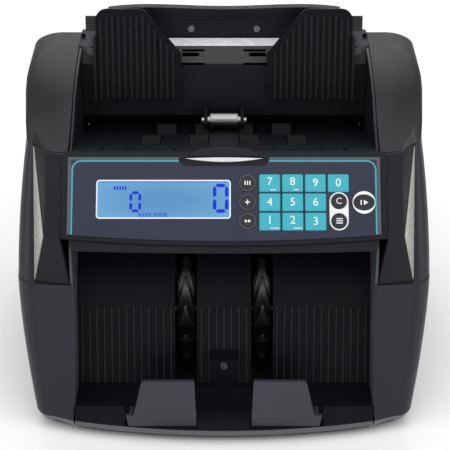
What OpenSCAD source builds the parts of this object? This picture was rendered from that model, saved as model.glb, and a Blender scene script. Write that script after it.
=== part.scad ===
// Banknote counting machine: a rear-sloping hopper with two sliding guides, a
// friction feed above, a tilted control console, and an open stacker below in
// which two finger wheels stand the counted notes against a ribbed plate.
// Millimetres. X to the machine's right as its user sees it, Y to the back,
// Z up. The origin is on the table, below the middle of the machine.

/* [Overall] */
// Half of the greatest width, at the bulge of the side covers
half_w_max = 143; // [142:0.25:144]
// Back face of the machine
back_y = 120.4; // [120:0.1:121]
// Wall thickness of the moulded covers
wall = 2.6; // [2.2:0.1:3]
// Height of the rubber feet
foot_h = 4; // [3:0.5:4]
// Gap between neighbouring covers
seam = 0.3; // [0.2:0.05:0.4]

/* [Console] */
// Tilt of the control panel from the horizontal
panel_tilt = 49; // [47:0.5:51]
// Half width of the panel overlay
panel_half_w = 105.6; // [104:0.2:105.8]
// Length of the overlay down the slope, at its ends
panel_len = 53.4; // [52:0.2:54]
// How far the lower edge bows forward at the middle
panel_bow = 4.3; // [3:0.1:5]
// Thickness of the overlay
overlay_t = 0.8; // [0.6:0.1:1]

/* [Keys] */
// Width of a square key
key_w = 14.1; // [13.6:0.1:14.3]
// Height of a square key
key_h = 12.2; // [11.8:0.1:12.4]
// Column pitch of the square keys
key_pitch_x = 15.4; // [15.3:0.1:15.6]
// Row pitch of the square keys
key_pitch_s = 13.2; // [13.1:0.05:13.3]
// Diameter of the three round function keys
round_key_d = 11.4; // [10:0.1:11.4]
// Diameter of the two round keys in the white capsule
capsule_key_d = 10.5; // [10:0.1:10.8]
// Diameter of the restart key
restart_key_d = 16.3; // [15:0.1:17]
// Clearance around each key in the overlay
key_gap = 0.15; // [0.1:0.05:0.2]

/* [Hopper] */
// Inner half width between the hopper's side walls
hopper_half_w = 104; // [103.5:0.1:104]
// Lean of the hopper's back wall and guides from the vertical
guide_lean = 13.2; // [12:0.2:14]
// Inner edge of each guide at rest, from the middle
guide_in_x = 31; // [31:0.5:34]
// Outer edge of each guide at rest, from the middle
guide_out_x = 93; // [90:0.5:93]
// Ribs on each guide
guide_ribs = 13; // [7:1:13]
// Radius of the kicker wheels
kicker_r = 14.8; // [14:0.1:15]
// Radius of the feed rollers
feed_r = 12; // [11:0.1:12]
// Diameter of the steel separating roller
sep_roller_d = 11.5; // [10:0.1:11.6]

/* [Stacker] */
// Radius of the finger wheels, to the finger tips
wheel_r = 41; // [38:0.5:41]
// Fingers on each wheel
wheel_fingers = 12; // [8:1:12]
// Width of each finger wheel
wheel_w = 13; // [10:0.5:13]
// Middle of each finger wheel, from the middle of the machine
wheel_x = 27; // [26.5:0.5:27.5]
// Pitch of the ribs on the stacker plate
plate_rib_pitch = 5.25; // [5:0.05:5.3]
// Height of the note stops' tops above the table
stop_top_z = 47; // [40:0.5:48]

/* [Drive] */
// Diameter of the feed, kicker and finger-wheel shafts
shaft_d = 8; // [7:0.5:8]
// Radial clearance of each shaft in its bearings
shaft_gap = 0.05; // [0.03:0.01:0.08]
// Diameter of the two drive motors
motor_d = 40; // [36:1:42]

/* [Hidden] */
$fn = 48;

// Colours
black_c = [0.06, 0.06, 0.07];
shell_c = [0.12, 0.12, 0.14];
grey_c = [0.25, 0.25, 0.27];
light_c = [0.7, 0.69, 0.66];
cyan_c = [0.27, 0.69, 0.75];
white_c = [0.92, 0.92, 0.92];
steel_c = [0.72, 0.73, 0.75];
rubber_c = [0.1, 0.1, 0.1];
board_c = [0.1, 0.35, 0.2];

// Heights of the cover seams
base_z = 6;
rim_z = 11.5;
leg_top_z = 99;
bulge_z = 100;
cover_top_z = 181.7;
ear_z0 = 182;
ear_z1 = 212;

// How far the side covers draw in at their foot and below the upper covers
foot_in = 11.5;
top_in = 5.7;
// Front of the legs at their foot and at their top
leg_foot_y = -110.5;
leg_top_y = -72;

// The pillar beside the console, right-hand side: fold, bevel and facet
pillar_x0 = hopper_half_w + 2 + seam;
console_edge = 110;
fold_p = [121, -76.5, 139];
bevel_p = [130, -69, leg_top_z];
crown_p = [131, -20, cover_top_z];

// Control panel frame: its upper edge, then down the slope
panel_y = -40;
panel_z = 183;
console_top_s = -2;
console_len = 58.1;
console_bow = 4.7;
overlay_s = 2.2;
plate_t = 2.5;

// Front lip: its rim is an arc about a far centre behind the machine
lip_r = 476;
front_y = -122;
lip_edge = [-105, 20];
lip_t = 2.6;
lip_cy = front_y + lip_r;

// Shaft centres in the Y-Z plane
kicker_yz = [10, 156];
feed_yz = [47, 150];
sep_yz = [42, 168.2];
wheel_yz = [-30, 53];
feed_motor_yz = [74, 82];
stacker_motor_yz = [42, 40];

// Belt planes and pulley radii
belt_w = 5;
belt_t = 1.5;
belt_gap = 0.2;
feed_belt_x = 108;
kicker_belt_x = 115;
motor_pulley_r = 8;
shaft_pulley_r = 11;

// Hopper lines in the Y-Z plane
floor_front = [-35.6, 182.4];
floor_back = [33, 161.6];
bend_yz = [66, 199];
shelf_yz = [76, 212];
back_foot_z = 165;
throat_yz = [62.6, 155.5];

function mix(a, b, t) = a + (b - a) * t;

// Half width of the side covers at height z
function half_w(z) = z < rim_z ? half_w_max - foot_in - (rim_z - z) * 0.4
    : z < bulge_z ? half_w_max - foot_in * pow((bulge_z - z) / (bulge_z - rim_z), 1.5)
    : half_w_max - top_in * pow((z - bulge_z) / (cover_top_z - bulge_z), 2);

// Front face of the legs at height z, with its bottom chamfer
function leg_y(z) = z < rim_z ? leg_foot_y + (rim_z - z) * 0.35
    : mix(leg_foot_y, leg_top_y, (z - rim_z) / (leg_top_z - rim_z));

// How far a leg's front face runs back towards its outer corner
function leg_sweep(z) = mix(6, 1.6, z / leg_top_z);

// A quarter of an ellipse from the front (t = 0) to the side (t = 1)
function corner_pts(cx, cy, rx, ry, n) =
    [for (i = [0 : n]) [cx + rx * sin(90 * i / n), cy - ry * cos(90 * i / n)]];

// The rear corner, from the side to the back
function rear_pts(cx, cy, r, n) =
    [for (i = [0 : n]) [cx + r * cos(90 * i / n), cy + r * sin(90 * i / n)]];

// An arc about c, from angle a0 to a1
function arc_pts(c, r, a0, a1) =
    [for (i = [0 : 6]) let (a = mix(a0, a1, i / 6)) c + r * [cos(a), sin(a)]];

function reversed(v) = [for (i = [len(v) - 1 : -1 : 0]) v[i]];

function raised(loop, z) = [for (p = loop) [p[0], p[1], z]];

// A closed solid through rings of equal length, each anticlockwise from above
module skin(rings) {
    n = len(rings[0]);
    m = len(rings);
    points = [for (ring = rings) for (p = ring) p];
    sides = [for (k = [0 : m - 2]) for (i = [0 : n - 1])
        let (j = (i + 1) % n)
        each [[k * n + i, (k + 1) * n + i, (k + 1) * n + j],
            [k * n + i, (k + 1) * n + j, k * n + j]]];
    low = [[for (i = [0 : n - 1]) i]];
    high = [[for (i = [n - 1 : -1 : 0]) (m - 1) * n + i]];
    polyhedron(points, concat(low, sides, high), convexity = 6);
}

module both_sides() {
    children();
    mirror([1, 0, 0]) children();
}

// A Y-Z outline made w wide, centred on the machine
module across(w, outline) {
    translate([-w / 2, 0, 0])
        rotate([90, 0, 90])
            linear_extrude(w) polygon(outline);
}

// A Y-Z outline from x0 to x1
module between_x(x0, x1, outline) {
    translate([x0, 0, 0])
        rotate([90, 0, 90])
            linear_extrude(x1 - x0) polygon(outline);
}

// A rod along X
module rod_x(x0, x1, d, yz) {
    translate([x0, yz[0], yz[1]])
        rotate([0, 90, 0]) cylinder(h = x1 - x0, d = d);
}

// A rounded rectangle in the plane, centred
module round_rect(w, h, r) {
    square([w - 2 * r, h], center = true);
    square([w, h - 2 * r], center = true);
    for (sx = [-1, 1], sy = [-1, 1])
        translate([sx * (w / 2 - r), sy * (h / 2 - r)]) circle(r);
}

// A slot with round ends along X, centred
module slot_2d(len, w) {
    square([len - w, w], center = true);
    for (sx = [-1, 1])
        translate([sx * (len - w) / 2, 0]) circle(d = w);
}

// Places its children on the panel: x across, y up the slope, z outwards
module on_panel() {
    translate([0, panel_y, panel_z])
        rotate([panel_tilt, 0, 0]) children();
}

// Places its children on the leaning guide plane: z up the lean, y backwards
module on_lean() {
    translate([0, 61, bend_yz[1]])
        rotate([-guide_lean, 0, 0]) children();
}

slope_b = atan2(shelf_yz[0] - bend_yz[0], shelf_yz[1] - bend_yz[1]);
slope_len = norm(shelf_yz - bend_yz);

// Places its children on the slotted plate below the shelf
module on_slotted() {
    translate([0, bend_yz[0], bend_yz[1]])
        rotate([-slope_b, 0, 0]) children();
}

// ---- Outer covers ----

// Plan outline of a leg or side strip at height z, from its inner front edge
// round the side to the back, moved inwards by t
function leg_path(z, t) =
    let (w = half_w(z) - t, y = leg_y(z) + t, r = 13 - t)
    concat([[pillar_x0 - 2, y]],
        corner_pts(w - r, y + leg_sweep(z) + r + 1, r, r + 1, 7),
        rear_pts(w - 18, back_y - t - 18, 18, 6),
        [[hopper_half_w + 2.6, back_y - t]]);

function strip_path(z, t) =
    let (k = (z - leg_top_z) / (cover_top_z - leg_top_z), in = t * 0.6,
        x = mix(bevel_p[0], crown_p[0], k) + seam + in,
        y = mix(bevel_p[1], crown_p[1], k),
        w = half_w(z) - t)
    concat([[x, y + 8]],
        corner_pts(x, y + 14, w - x, 14 - t, 7),
        rear_pts(w - 18, back_y - t - 18, 18, 6),
        [[hopper_half_w + 2.6, back_y - t]]);

// Rings of the shell; z_in is the height of the inner face's points
function leg_ring(z, z_in) =
    concat(raised(leg_path(z, 0), z), raised(reversed(leg_path(z, wall)), z_in));

function strip_ring(z, z_in) =
    concat(raised(strip_path(z, 0), z), raised(reversed(strip_path(z, wall)), z_in));

// Rise of the leg's top towards the back
ledge = 0.7;

// Side cover, right-hand side: the leg, its top ledge and the strip above it
module side_cover() {
    skin(concat(
        [for (z = [base_z, rim_z, 24, 37, 50, 63, 76, 88]) leg_ring(z, z)],
        [leg_ring(leg_top_z - ledge, leg_top_z - ledge - wall),
            strip_ring(leg_top_z, leg_top_z - wall)],
        [for (k = [1 : 6]) let (z = mix(leg_top_z, cover_top_z, k / 6)) strip_ring(z, z)]));
}

// Front edge of the upper cover's top at height z, along its inner side
function ear_front(z) = lookup(z,
    [[ear_z0, -36.5], [191, -4], [201, 14], [206.5, 32], [210, 50], [ear_z1, 80]]);

function ear_half_w(z) = lookup(z,
    [[ear_z0, half_w_max - top_in], [186.5, 139.6], [191, 141.2], [196, 142],
    [201, 142], [204.5, 141.2], [207, 139.4], [209, 136], [210.6, 128],
    [211.5, 117], [ear_z1, 109]]);

function ear_back(z) = lookup(z,
    [[ear_z0, back_y], [198, back_y - 1], [205, back_y - 5],
    [210, back_y - 12], [ear_z1, back_y - 20]]);

// Plan outline of the upper cover at height z, moved inwards by t
function ear_ring(z, t) =
    let (x0 = pillar_x0 + t, w = max(ear_half_w(z) - t, x0 + 1),
        y = ear_front(z) + t, f = (w - x0) / (139.7 - x0))
    raised(concat(
        [[x0, y], [mix(x0, w, 0.44), y + 2.5 * f]],
        corner_pts(w - 7 * f, y + 30.5 * f, 7 * f, 14 * f, 5),
        rear_pts(w - 16 * f, ear_back(z) - t - 16 * f, 16 * f, 6),
        [[x0, ear_back(z) - t]]), z - (t > 0 ? t : 0));

// Upper cover, right-hand side, a hollow crowned shell
module upper_cover() {
    levels = [ear_z0, 186.5, 191, 196, 201, 204.5, 207, 209, 210.6, 211.5, ear_z1];
    difference() {
        skin([for (z = levels) ear_ring(z, 0)]);
        skin([for (z = levels) ear_ring(z, wall)]);
    }
}

// Corners of a pillar, right-hand side
function pillar_points() = [
    [console_edge, -38, cover_top_z], [121, -35, cover_top_z], crown_p, fold_p,
    bevel_p, [console_edge, -78.8, 139.4], [pillar_x0, leg_top_y, leg_top_z + seam],
    [console_edge, -14, cover_top_z], [128, -12, cover_top_z],
    [pillar_x0, -60, leg_top_z + seam], [127, -58, leg_top_z + seam]];

module hull_of(points) {
    hull() polyhedron(points, [for (i = [1 : len(points) - 2]) [0, i, i + 1]]);
}

// Pillar between the console and the side cover: a faceted hollow shell
module pillar() {
    difference() {
        hull_of(pillar_points());
        translate([-2.6, 5, -2]) hull_of(pillar_points());
    }
}

// Bright facet on the pillar's outer front, a thin plate
module pillar_trim() {
    n = cross(fold_p - crown_p, bevel_p - crown_p);
    u = n / norm(n);
    out = u[1] < 0 ? u : -u;
    mid = (crown_p + fold_p + bevel_p) / 3;
    inner = [for (p = [crown_p, fold_p, bevel_p]) mix(p, mid, 0.05) + out * 0.05];
    points = concat(inner, [for (p = inner) p + out * 0.5]);
    polyhedron(points, [[2, 1, 0], [3, 4, 5], [0, 1, 4, 3], [1, 2, 5, 4], [2, 0, 3, 5]]);
}

// Panel outline: straight top and sides, bowed lower edge
module panel_outline(w, top, len, bow) {
    steps = 16;
    polygon(concat([[w, top], [-w, top]],
        [for (i = [0 : steps])
            let (x = mix(-w, w, i / steps))
            [x, -len - bow * (1 - pow(x / w, 2))]]));
}

// Black field in the overlay's upper edge, round the grip and its crescent
notch_w = 60.5;
notch_s = 8.4;
module notch_2d() {
    r = 5;
    over = 12;
    translate([0, (over - notch_s) / 2]) round_rect(notch_w, over + notch_s, r);
}

// Key centres on the panel: x, and distance down the slope
key_x0 = 30.8;
key_s0 = 20.3;
function grid_key(col, row) = [key_x0 + col * key_pitch_x, key_s0 + row * key_pitch_s];
round_keys = [[15.8, 20.2], [15.8, 33.4], [15.8, 46.4]];
capsule_keys = [[77.3, 32.8], [77.3, 46.3]];
restart_key = [94.1, 33.7];

// Display window: centre, size, and the opening behind it
lcd_c = [-40.7, 31.4];
lcd_size = [90.6, 26.7];
lcd_open = [86.8, 22.8];

module at_key(k) {
    translate([k[0], -k[1], 0]) children();
}

module console() {
    color(shell_c) {
        on_panel() difference() {
            translate([0, 0, -plate_t]) linear_extrude(plate_t)
                panel_outline(console_edge - seam, -console_top_s, console_len, console_bow);
            translate([0, 0, -plate_t - 1]) linear_extrude(plate_t + 2) {
                translate([lcd_c[0], -lcd_c[1]]) square(lcd_open, center = true);
                // Well behind the key field
                translate([9.5, -53.4]) square([75.1, 39.8]);
                translate([restart_key[0], -restart_key[1]]) circle(d = restart_key_d + 0.6);
            }
        }
        chin();
        both_sides() pillar();
        notch_grip();
    }
}

// Vertical band under the panel, bowed with it
module chin() {
    steps = 16;
    w = hopper_half_w - 0.7;
    chin_y = -77.7;
    chin_z = 129;
    bow = 3.1;
    arc = [for (i = [0 : steps])
        let (x = mix(-w, w, i / steps)) [x, chin_y - bow * (1 - pow(x / w, 2))]];
    difference() {
        translate([0, 0, chin_z]) linear_extrude(12)
            polygon(concat(arc, [[w, chin_y + 2.5], [-w, chin_y + 2.5]]));
        on_panel() translate([-150, -100, -plate_t + 0.5]) cube([300, 120, 40]);
    }
    translate([-w, chin_y + 2.4, chin_z]) cube([2 * w, 22, 2]);
}

// Domed grip on the console's upper edge, half an ellipse in plan
module notch_grip() {
    half = 25;
    depth = 6.6;
    base_y = -2;
    on_panel() skin([for (l = [[-0.5, 1], [0.7, 1], [1.4, 0.96], [1.9, 0.87], [2.2, 0.7]])
        [for (a = [0 : 9 : 180])
            [half * l[1] * cos(a), base_y + depth * l[1] * sin(a), l[0]]]]);
}

// Rim of the lip at x
function lip_y(x) = lip_cy - sqrt(lip_r * lip_r - x * x);

// Section of the lip at x: a sheet from its rim up to its straight rear edge
function lip_section(x) = let (y = lip_y(x), t = lip_t)
    [for (p = [[y + 1.9, base_z], [y + 1.9 + t, base_z], [y + 0.6 + t, rim_z - 1.3],
        [lip_edge[0] + 0.8, lip_edge[1] - t - 0.4], [lip_edge[0] + t, lip_edge[1] - t - 0.4],
        [lip_edge[0] + t, lip_edge[1]], lip_edge, [y, rim_z]]) [x, p[0], p[1]]];

module front_lip() {
    half = hopper_half_w - 0.8;
    steps = 26;
    color(shell_c) difference() {
        skin([for (i = [0 : steps]) lip_section(mix(-half, half, i / steps))]);
        // Finger recess between the note stops
        translate([-17.4, front_y - 10, 17]) cube([34.8, 40, 20]);
        // Seats of the note stops
        both_sides() translate([18.2, front_y - 10, rim_z + 0.5]) cube([50.4, 40, 20]);
    }
}

// Crest behind the guides, gently waved along its top
function crest_top(x) = let (a = abs(x), peak = 57)
    a < peak ? 236 - 0.75 * (1 + cos(180 * a / peak))
    : 236 - 2 * pow((a - peak) / (85.6 - peak), 2);

crest_y = [92.2, 99];
rail_t = 0.9;

module crest() {
    half = 85.6;
    steps = 32;
    deck_z = 212;
    outline = concat([[half, deck_z], [-half, deck_z]],
        [for (i = [0 : steps]) let (x = mix(-half, half, i / steps)) [x, crest_top(x)]]);
    translate([0, crest_y[1], 0]) rotate([90, 0, 0])
        linear_extrude(crest_y[1] - crest_y[0]) polygon(outline);
    // Raised rail along the crest's front, below its upper band
    translate([-half + 6, crest_y[0] - rail_t, 215]) cube([2 * half - 12, rail_t, 14]);
}

inlet_c = [-62, 46];
inlet_cut = [50, 29];

module rear_cover() {
    w = 2 * (hopper_half_w + 2);
    color(shell_c) {
        difference() {
            across(w, [[back_y - wall, base_z + seam], [back_y, base_z + seam],
                [back_y, 192], [back_y - 4, 204], [back_y - 12, 212],
                [back_y - 22, 214.6], [94, 214.6], [94, 212], [shelf_yz[0] + 0.4, 212],
                [shelf_yz[0] + 0.4, 210], [96, 210], [back_y - 23, 212],
                [back_y - 13, 209.4], [back_y - 6.4, 202.6], [back_y - wall, 191.6]]);
            // Ventilation slots
            for (sx = [-1, 1], i = [0 : 9])
                translate([sx * 48 - 28, back_y - 5, 92 + i * 7]) cube([56, 10, 3]);
            translate([inlet_c[0] - inlet_cut[0] / 2, back_y - 5, inlet_c[1] - inlet_cut[1] / 2])
                cube([inlet_cut[0], 10, inlet_cut[1]]);
            translate([0, 107, 200]) cylinder(h = 20, d = 6.2);
        }
        crest();
    }
}

module base_pan() {
    color(grey_c) translate([0, 0, foot_h]) linear_extrude(base_z - foot_h - 0.1) difference() {
        union() {
            translate([0, 7]) round_rect(235, 221.6, 17);
            intersection() {
                translate([0, lip_cy]) circle(r = lip_r - 3.4, $fn = 180);
                translate([-101, front_y]) square([202, 60]);
            }
        }
        // Ventilation slots under the boards
        for (i = [-5 : 5])
            translate([i * 12, 70]) slot_2d(4, 3.9);
    }
}

module feet() {
    color(rubber_c) for (sx = [-1, 1], y = [-82, 104])
        translate([sx * 96, y, 0]) {
            cylinder(h = foot_h - 1, r = 9);
            translate([0, 0, foot_h - 1]) cylinder(h = 1, r = 10);
        }
}

// ---- Control panel ----

module key_shapes(grow) {
    for (row = [0 : 2], col = [0 : 2])
        at_key(grid_key(col, row)) round_rect(key_w + grow, key_h + grow, 1);
    at_key(grid_key(3, 0)) round_rect(key_w + grow, key_h + grow, 1);
    for (k = round_keys) at_key(k) circle(d = round_key_d + grow);
    for (k = capsule_keys) at_key(k) circle(d = capsule_key_d + grow);
    at_key(restart_key) circle(d = restart_key_d + grow);
}

module panel_overlay() {
    color(grey_c) on_panel() linear_extrude(overlay_t) difference() {
        panel_outline(panel_half_w, -overlay_s, overlay_s + panel_len, panel_bow);
        notch_2d();
        key_shapes(2 * key_gap);
        translate([lcd_c[0], -lcd_c[1]])
            round_rect(lcd_size[0] + 0.2, lcd_size[1] + 0.2, 2.3);
    }
}

module lcd_window() {
    color([0.36, 0.6, 0.8]) on_panel() translate([lcd_c[0], -lcd_c[1], 0]) {
        linear_extrude(overlay_t + 0.2) round_rect(lcd_size[0], lcd_size[1], 2.2);
        translate([0, 0, -plate_t]) linear_extrude(plate_t)
            square(lcd_open - [0.3, 0.3], center = true);
    }
}

// Heights of the key parts along the panel's normal
key_top = overlay_t + 0.7;
key_foot = -1.2;
stem_foot = -5;
board_n = -9.2;
board_t = 1.6;
dome_n = -5.9;

module stem() {
    color(grey_c) translate([0, 0, stem_foot])
        cylinder(h = key_foot - stem_foot, d = 4);
}

// A square key with a slightly smaller crown
module square_key(col, row, c = cyan_c) {
    color(c) on_panel() at_key(grid_key(col, row)) {
        translate([0, 0, key_foot]) linear_extrude(key_top - key_foot - 0.3)
            round_rect(key_w, key_h, 1);
        translate([0, 0, key_top - 0.3]) linear_extrude(0.3)
            round_rect(key_w - 0.6, key_h - 0.6, 0.8);
        stem();
    }
}

module round_key(place, d, c) {
    color(c) on_panel() at_key(place) {
        translate([0, 0, key_foot]) cylinder(h = key_top - key_foot - 0.3, d = d);
        translate([0, 0, key_top - 0.3]) cylinder(h = 0.3, d1 = d, d2 = d - 0.8, $fn = 64);
        stem();
    }
}

module key_7() { square_key(0, 0); }
module key_8() { square_key(1, 0); }
module key_9() { square_key(2, 0); }
module key_0() { square_key(3, 0); }
module key_4() { square_key(0, 1); }
module key_5() { square_key(1, 1); }
module key_6() { square_key(2, 1); }
module key_1() { square_key(0, 2); }
module key_2() { square_key(1, 2); }
module key_3() { square_key(2, 2); }
module key_count() { round_key(round_keys[0], round_key_d, shell_c); }
module key_add() { round_key(round_keys[1], round_key_d, shell_c); }
module key_speed() { round_key(round_keys[2], round_key_d, shell_c); }
module key_clear() { round_key(capsule_keys[0], capsule_key_d, shell_c); }
module key_batch() { round_key(capsule_keys[1], capsule_key_d, shell_c); }
module key_restart() { round_key(restart_key, restart_key_d, shell_c); }

// Keyboard: board, one switch dome under each key, and the display module
module panel_board() {
    places = concat([for (row = [0 : 2], col = [0 : 2]) grid_key(col, row)],
        [grid_key(3, 0), restart_key], round_keys, capsule_keys);
    color(board_c) on_panel() {
        translate([-94, -56, board_n]) cube([196.5, 49, board_t]);
        for (k = places) at_key(k) translate([0, 0, board_n + board_t])
            cylinder(h = dome_n - board_n - board_t, d = 5);
        translate([lcd_c[0] - 46, -lcd_c[1] - 12.4, board_n + board_t])
            cube([92, 24.8, -plate_t - 0.1 - board_n - board_t]);
    }
}

// Chrome crescent below the grip, a long lens
module notch_trim() {
    half = 27;
    tip = -3;
    dip = 2.6;
    rise = 0.8;
    r_low = (half * half + dip * dip) / (2 * dip);
    r_high = (half * half + rise * rise) / (2 * rise);
    color(steel_c) on_panel() linear_extrude(overlay_t) intersection() {
        translate([0, tip - dip + r_low]) circle(r = r_low, $fn = 360);
        translate([0, tip + rise - r_high]) circle(r = r_high, $fn = 360);
    }
}

// ---- Hopper ----

module side_frame() {
    outline = [[-106.2, 13], [-69.4, 95], [-69.4, 110], [-66, 127], [-50, 150],
        [-34, 172], [-34, 178.5], [-4, 190], [14, 200.6], [32, 206], [50, 209.4],
        [75.5, 211.4], [75.5, 209.4], [97, 205], [97, base_z + seam], [-89.4, base_z + seam]];
    bore = shaft_d + 2 * shaft_gap;
    color(shell_c) difference() {
        union() {
            between_x(hopper_half_w, hopper_half_w + 2, outline);
            for (c = [kicker_yz, feed_yz, wheel_yz])
                rod_x(hopper_half_w + 1, hopper_half_w + 3, 14, c);
        }
        for (c = [kicker_yz, feed_yz, wheel_yz])
            rod_x(hopper_half_w - 1, hopper_half_w + 5, bore, c);
        for (c = [feed_motor_yz, stacker_motor_yz])
            rod_x(hopper_half_w - 1, hopper_half_w + 5, 12, c);
    }
}

// Kicker wheels and feed rollers: middle and width of each
kicker_wheels = [[-51.4, 13], [-17.5, 13], [17.5, 13], [51.4, 13]];
feed_rollers = [[-42, 14], [-16, 10], [0, 12], [16, 10], [42, 14]];

// Raised strip on the floor: middle, width and height
module floor_rib(x, w, h) {
    a = mix(floor_front, floor_back, 0.12);
    b = mix(floor_front, floor_back, 0.97);
    between_x(x - w / 2, x + w / 2, [a, b, b + [0, h], a + [0, h]]);
}

module hopper_floor() {
    t = 2.6;
    w = 2 * (hopper_half_w - 0.2);
    slot_y = 17;
    color(shell_c) difference() {
        union() {
            across(w, [floor_front, floor_back, floor_back - [0, t], floor_front - [0, t]]);
            // Low ribs that carry the notes between the wheels
            for (x = [-84, -68, -34, 34, 68, 84]) floor_rib(x, 2, 0.9);
            // Pad in front of the separating roller
            floor_rib(0, 20, 1.5);
        }
        for (k = kicker_wheels)
            translate([k[0] - k[1] / 2 - 1, kicker_yz[0] - slot_y, 150])
                cube([k[1] + 2, 2 * slot_y, 40]);
        // Note sensor windows
        for (x = [-28, 28]) translate([x, 27, 150]) cylinder(h = 30, d = 4);
    }
}

// Slots of the guides' pins
pin_slot_w = 3;
pin_travel = 25;

// Bent sheet behind the notes, with the guides' slots in its upper part
module hopper_back() {
    w = 2 * (hopper_half_w - 0.2);
    t = 2.2;
    drop = bend_yz[1] - back_foot_z;
    foot_y = bend_yz[0] - drop * tan(guide_lean);
    color(grey_c) {
        difference() {
            across(w, [shelf_yz + [0.1, 0], shelf_yz, bend_yz, [foot_y, back_foot_z],
                throat_yz, throat_yz + [t, 0],
                [foot_y + t, back_foot_z], [bend_yz[0] + t, bend_yz[1] - 0.8],
                [shelf_yz[0] + 1.1, shelf_yz[1] - t], [shelf_yz[0] + 0.1, shelf_yz[1] - t]]);
            on_slotted() both_sides() {
                translate([33.35, -2, slope_len - 6.1]) rotate([-90, 0, 0])
                    linear_extrude(8) slot_2d(pin_travel + pin_slot_w + 2.3, pin_slot_w);
                for (up = [3, 13.2]) translate([25, -2, slope_len - up])
                    rotate([-90, 0, 0]) linear_extrude(8) slot_2d(22, 1.8);
            }
        }
        // Arms that hold the separating roller
        both_sides() difference() {
            between_x(12.2, 14.4, [[sep_yz[0] - 4, sep_yz[1] - 1], [sep_yz[0], sep_yz[1] + 5],
                [foot_y + 1.6, 174], [foot_y + 1, back_foot_z + 0.5], [sep_yz[0], sep_yz[1] - 5]]);
            rod_x(11, 16, 5.1, sep_yz);
        }
    }
}

module separating_roller() {
    color(steel_c) {
        rod_x(-10, 10, sep_roller_d, sep_yz);
        rod_x(-12, 12, 7, sep_yz);
        rod_x(-16.4, 16.4, 5, sep_yz);
    }
}

module wheel_set(items, r, c, yz) {
    color(c) for (k = items) difference() {
        rod_x(k[0] - k[1] / 2, k[0] + k[1] / 2, 2 * r, yz);
        rod_x(k[0] - k[1] / 2 - 1, k[0] + k[1] / 2 + 1, 2 * r - 5, yz);
    }
}

module hub_set(items, r, yz) {
    for (k = items)
        rod_x(k[0] - k[1] / 2, k[0] + k[1] / 2, 2 * r - 5, yz);
}

module pulley(x, r, yz) {
    rod_x(x, x + belt_w, 2 * r, yz);
    for (dx = [-0.8, belt_w]) rod_x(x + dx, x + dx + 0.8, 2 * r + 2, yz);
}

module kicker_shaft() {
    color(steel_c) rod_x(-112, 122, shaft_d, kicker_yz);
    color(grey_c) {
        hub_set(kicker_wheels, kicker_r, kicker_yz);
        pulley(kicker_belt_x, shaft_pulley_r, kicker_yz);
    }
}

module kicker_tyres() {
    wheel_set(kicker_wheels, kicker_r, grey_c, kicker_yz);
}

module feed_shaft() {
    color(steel_c) rod_x(-112, 122, shaft_d, feed_yz);
    color(grey_c) {
        hub_set(feed_rollers, feed_r, feed_yz);
        pulley(feed_belt_x, shaft_pulley_r, feed_yz);
        pulley(kicker_belt_x, shaft_pulley_r, feed_yz);
    }
}

module feed_tyres() { wheel_set(feed_rollers, feed_r, rubber_c, feed_yz); }

// Note guide, right-hand side, in the leaning plane: its inner upper corner
// is cut off along a slant, and its corners are rounded
guide_low = -20.4;
guide_high = 45.2;
slant = [27, 32.8];

module guide_2d() {
    w = guide_out_x - guide_in_x;
    h = guide_high - guide_low;
    r = 8;
    r_in = 6;
    n = slant / norm(slant);
    turn = 90 + atan2(slant[1], slant[0]);
    polygon(concat([[0, 0], [w, 0]],
        arc_pts([w - r, h - r], r, 0, 90),
        arc_pts([slant[0] + r * (1 - n[0]) / n[1], h - r], r, 90, turn),
        arc_pts([r_in, h - slant[1] - r_in * (1 - n[1]) / n[0]], r_in, turn, 180)));
}

module guide() {
    w = guide_out_x - guide_in_x;
    t = 3;
    rib_pitch = (w - 9.6) / (guide_ribs - 1);
    on_lean() {
        translate([guide_in_x, t, guide_low]) rotate([90, 0, 0]) linear_extrude(t) guide_2d();
        for (i = [0 : guide_ribs - 1])
            let (rib_x = w - 3.6 - i * rib_pitch, gap = 4.6,
                cut = max(0, slant[1] * (1 - (rib_x - 1) / slant[0]), rib_x > w - 9 ? 1.5 : 0))
            translate([guide_in_x + rib_x - 0.8, -1.2, guide_low])
                cube([1.6, 1.5, guide_high - gap - cut - guide_low]);
        // Side wall that squares the notes, folded forward at the outer edge
        translate([guide_out_x - 0.2, -4, guide_low]) cube([2, 7, 45]);
    }
}

module guide_right() { color(shell_c) guide(); }
module guide_left() { color(shell_c) mirror([1, 0, 0]) guide(); }

// Carrier that holds a guide and runs in the slotted plate, right-hand side
pin_x = 45;
module carrier() {
    on_lean() {
        difference() {
            translate([82, 5.4, 11]) rotate([90, 0, 0]) linear_extrude(2.4) {
                square([14.4, 28.6]);
                translate([0, 4]) square([18.4, 24.6]);
                translate([14.4, 4]) circle(4);
            }
            translate([96, 0, 17]) rotate([-90, 0, 0]) cylinder(h = 10, d = 2.6);
        }
        translate([pin_x - 6, 3, 8.5]) cube([50, 2.4, 6]);
        translate([pin_x - 5, 3, 8.5]) cube([10, 3.9, 5]);
        // Tab beside the guide's inner corner
        translate([guide_in_x - 0.4, 3, 6]) cube([9.4, 2.4, 9]);
    }
    on_slotted() translate([pin_x, 0, slope_len - 6.1]) rotate([-90, 0, 0]) {
        translate([0, 0, -3.4]) cylinder(h = 8, d = pin_slot_w - 0.8);
        translate([0, 0, 3.2]) cylinder(h = 2, d = 8);
    }
}

module carrier_right() { color(grey_c) carrier(); }
module carrier_left() { color(grey_c) mirror([1, 0, 0]) carrier(); }

module spec_label() {
    color(white_c) translate([-60, shelf_yz[0] + 0.8, shelf_yz[1]])
        cube([120, 14, 0.25]);
}

// ---- Stacker and drive ----

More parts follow.
